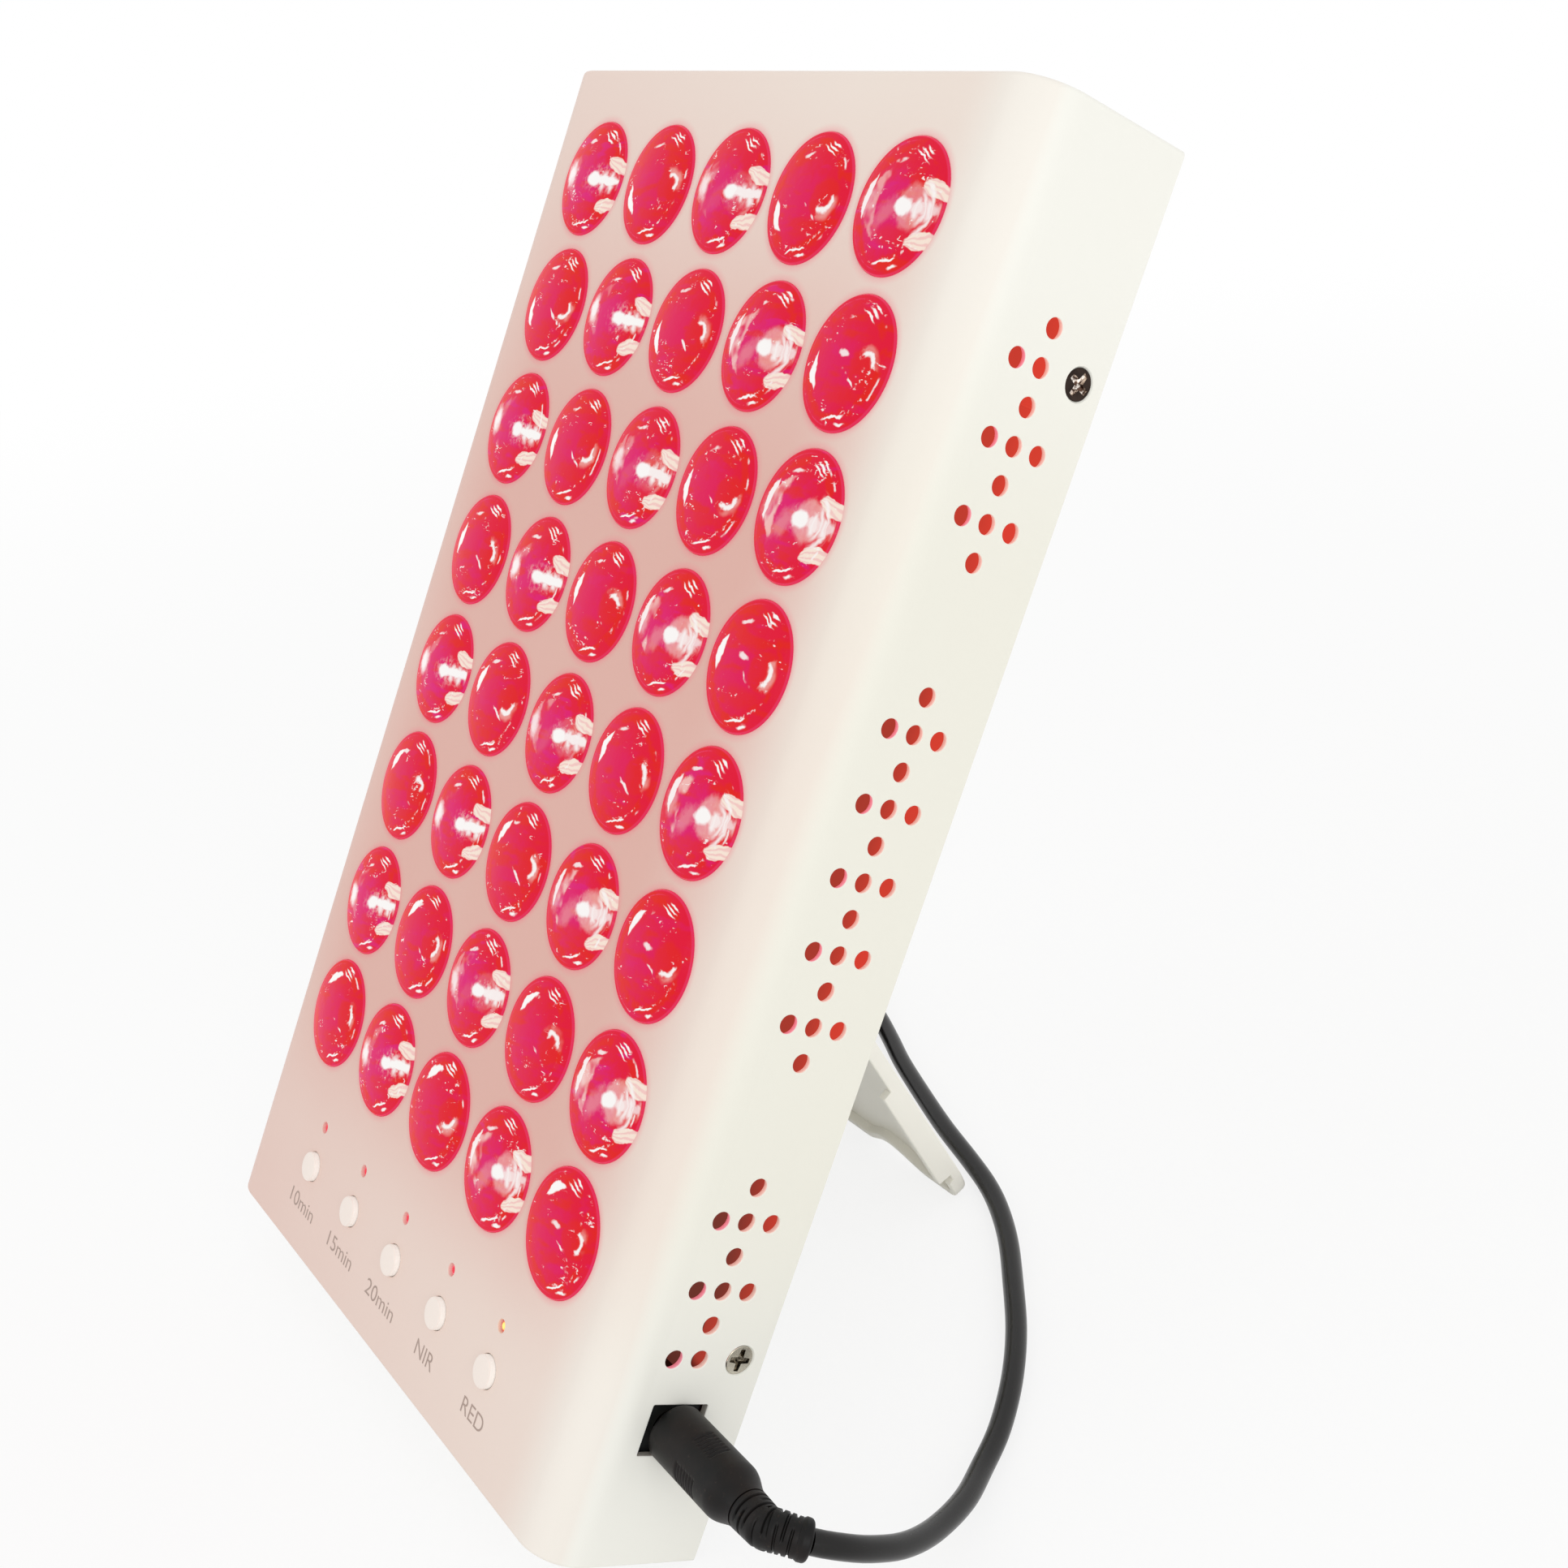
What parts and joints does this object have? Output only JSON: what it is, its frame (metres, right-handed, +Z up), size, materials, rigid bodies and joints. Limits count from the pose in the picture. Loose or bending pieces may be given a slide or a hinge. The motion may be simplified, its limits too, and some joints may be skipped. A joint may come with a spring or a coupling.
{
  "type": "light therapy panel",
  "caption": "Desktop red and near-infrared light therapy panel: a vented metal case with rows of domed lenses, push buttons, a fold-out rear stand and a power lead with a plug-in supply.",
  "frame": {"origin": "on the table, under the middle of the bounding box of the lamp without its lead", "axes": "+Z up, -Y the way the leaning front with its lenses faces, +X the side with the power socket"},
  "size_m": [0.2246, 0.1675, 0.2373],
  "materials": {
    "white_paint": "fine matt powder coat, off-white",
    "white_plastic": "matt white plastic",
    "button_plastic": "satin off-white plastic",
    "lens_red": "clear red-tinted glossy lens, lit from behind",
    "lamp_pink": "lit pink-red light guide",
    "board_white": "white solder mask",
    "board_green": "green solder mask",
    "black_plastic": "matt black plastic",
    "cord_black": "soft black cord sheath",
    "wire_red": "red wire insulation",
    "steel": "plated steel",
    "brass": "plain brass"
  },
  "bodies": {
    "case": {"front_shell": "white_paint", "rear_cover": "white_plastic", "led_board": "board_white", "control_board": "board_green", "dc_jack": "black_plastic", "control_post_left": "brass", "control_post_right": "brass", "hinge_pin_left": "steel", "hinge_pin_right": "steel", "board_wire_red": "wire_red", "board_wire_black": "cord_black", "plug_barrel": "steel", "plug_body": "black_plastic", "strain_relief": "black_plastic", "lead": "cord_black", "lead_coil": "cord_black", "lead_tail": "cord_black", "coil_tie": "black_plastic", "adapter_body": "black_plastic", "adapter_relief": "black_plastic", "prong_left": "brass", "prong_right": "brass", "lens_row_1": "lens_red", "lens_row_2": "lens_red", "lens_row_3": "lens_red", "lens_row_4": "lens_red", "lens_row_5": "lens_red", "lens_row_6": "lens_red", "lens_row_7": "lens_red", "lens_row_8": "lens_red", "switch_1": "black_plastic", "indicator_1": "lamp_pink", "switch_2": "black_plastic", "indicator_2": "lamp_pink", "switch_3": "black_plastic", "indicator_3": "lamp_pink", "switch_4": "black_plastic", "indicator_4": "lamp_pink", "switch_5": "black_plastic", "indicator_5": "lamp_pink", "cover_screw_1": "steel", "board_post_1": "brass", "board_screw_1": "steel", "cover_screw_2": "steel", "board_post_2": "brass", "board_screw_2": "steel", "cover_screw_3": "steel", "board_post_3": "brass", "board_screw_3": "steel", "cover_screw_4": "steel", "board_post_4": "brass", "board_screw_4": "steel"},
    "stand": {"kickstand": "white_plastic"},
    "push_button_1": {"button_1": "button_plastic"},
    "push_button_2": {"button_2": "button_plastic"},
    "push_button_3": {"button_3": "button_plastic"},
    "push_button_4": {"button_4": "button_plastic"},
    "push_button_5": {"button_5": "button_plastic"}
  },
  "joints": [
    {"name": "stand_hinge", "type": "hinge", "parent": "case", "child": "stand", "pos_m": [0, 0.00632, 0.10495], "axis": [1, 0, 0], "range_deg": [-53.73, 0]},
    {"name": "button_press_1", "type": "slide", "parent": "case", "child": "push_button_1", "axis": [0, 0.8704, -0.4924], "range_m": [0, 0.00025], "stiffness_N_per_m": 300, "springref_m": -0.0003},
    {"name": "button_press_2", "type": "slide", "parent": "case", "child": "push_button_2", "axis": [0, 0.8704, -0.4924], "range_m": [0, 0.00025], "stiffness_N_per_m": 300, "springref_m": -0.0003},
    {"name": "button_press_3", "type": "slide", "parent": "case", "child": "push_button_3", "axis": [0, 0.8704, -0.4924], "range_m": [0, 0.00025], "stiffness_N_per_m": 300, "springref_m": -0.0003},
    {"name": "button_press_4", "type": "slide", "parent": "case", "child": "push_button_4", "axis": [0, 0.8704, -0.4924], "range_m": [0, 0.00025], "stiffness_N_per_m": 300, "springref_m": -0.0003},
    {"name": "button_press_5", "type": "slide", "parent": "case", "child": "push_button_5", "axis": [0, 0.8704, -0.4924], "range_m": [0, 0.00025], "stiffness_N_per_m": 300, "springref_m": -0.0003}
  ]
}
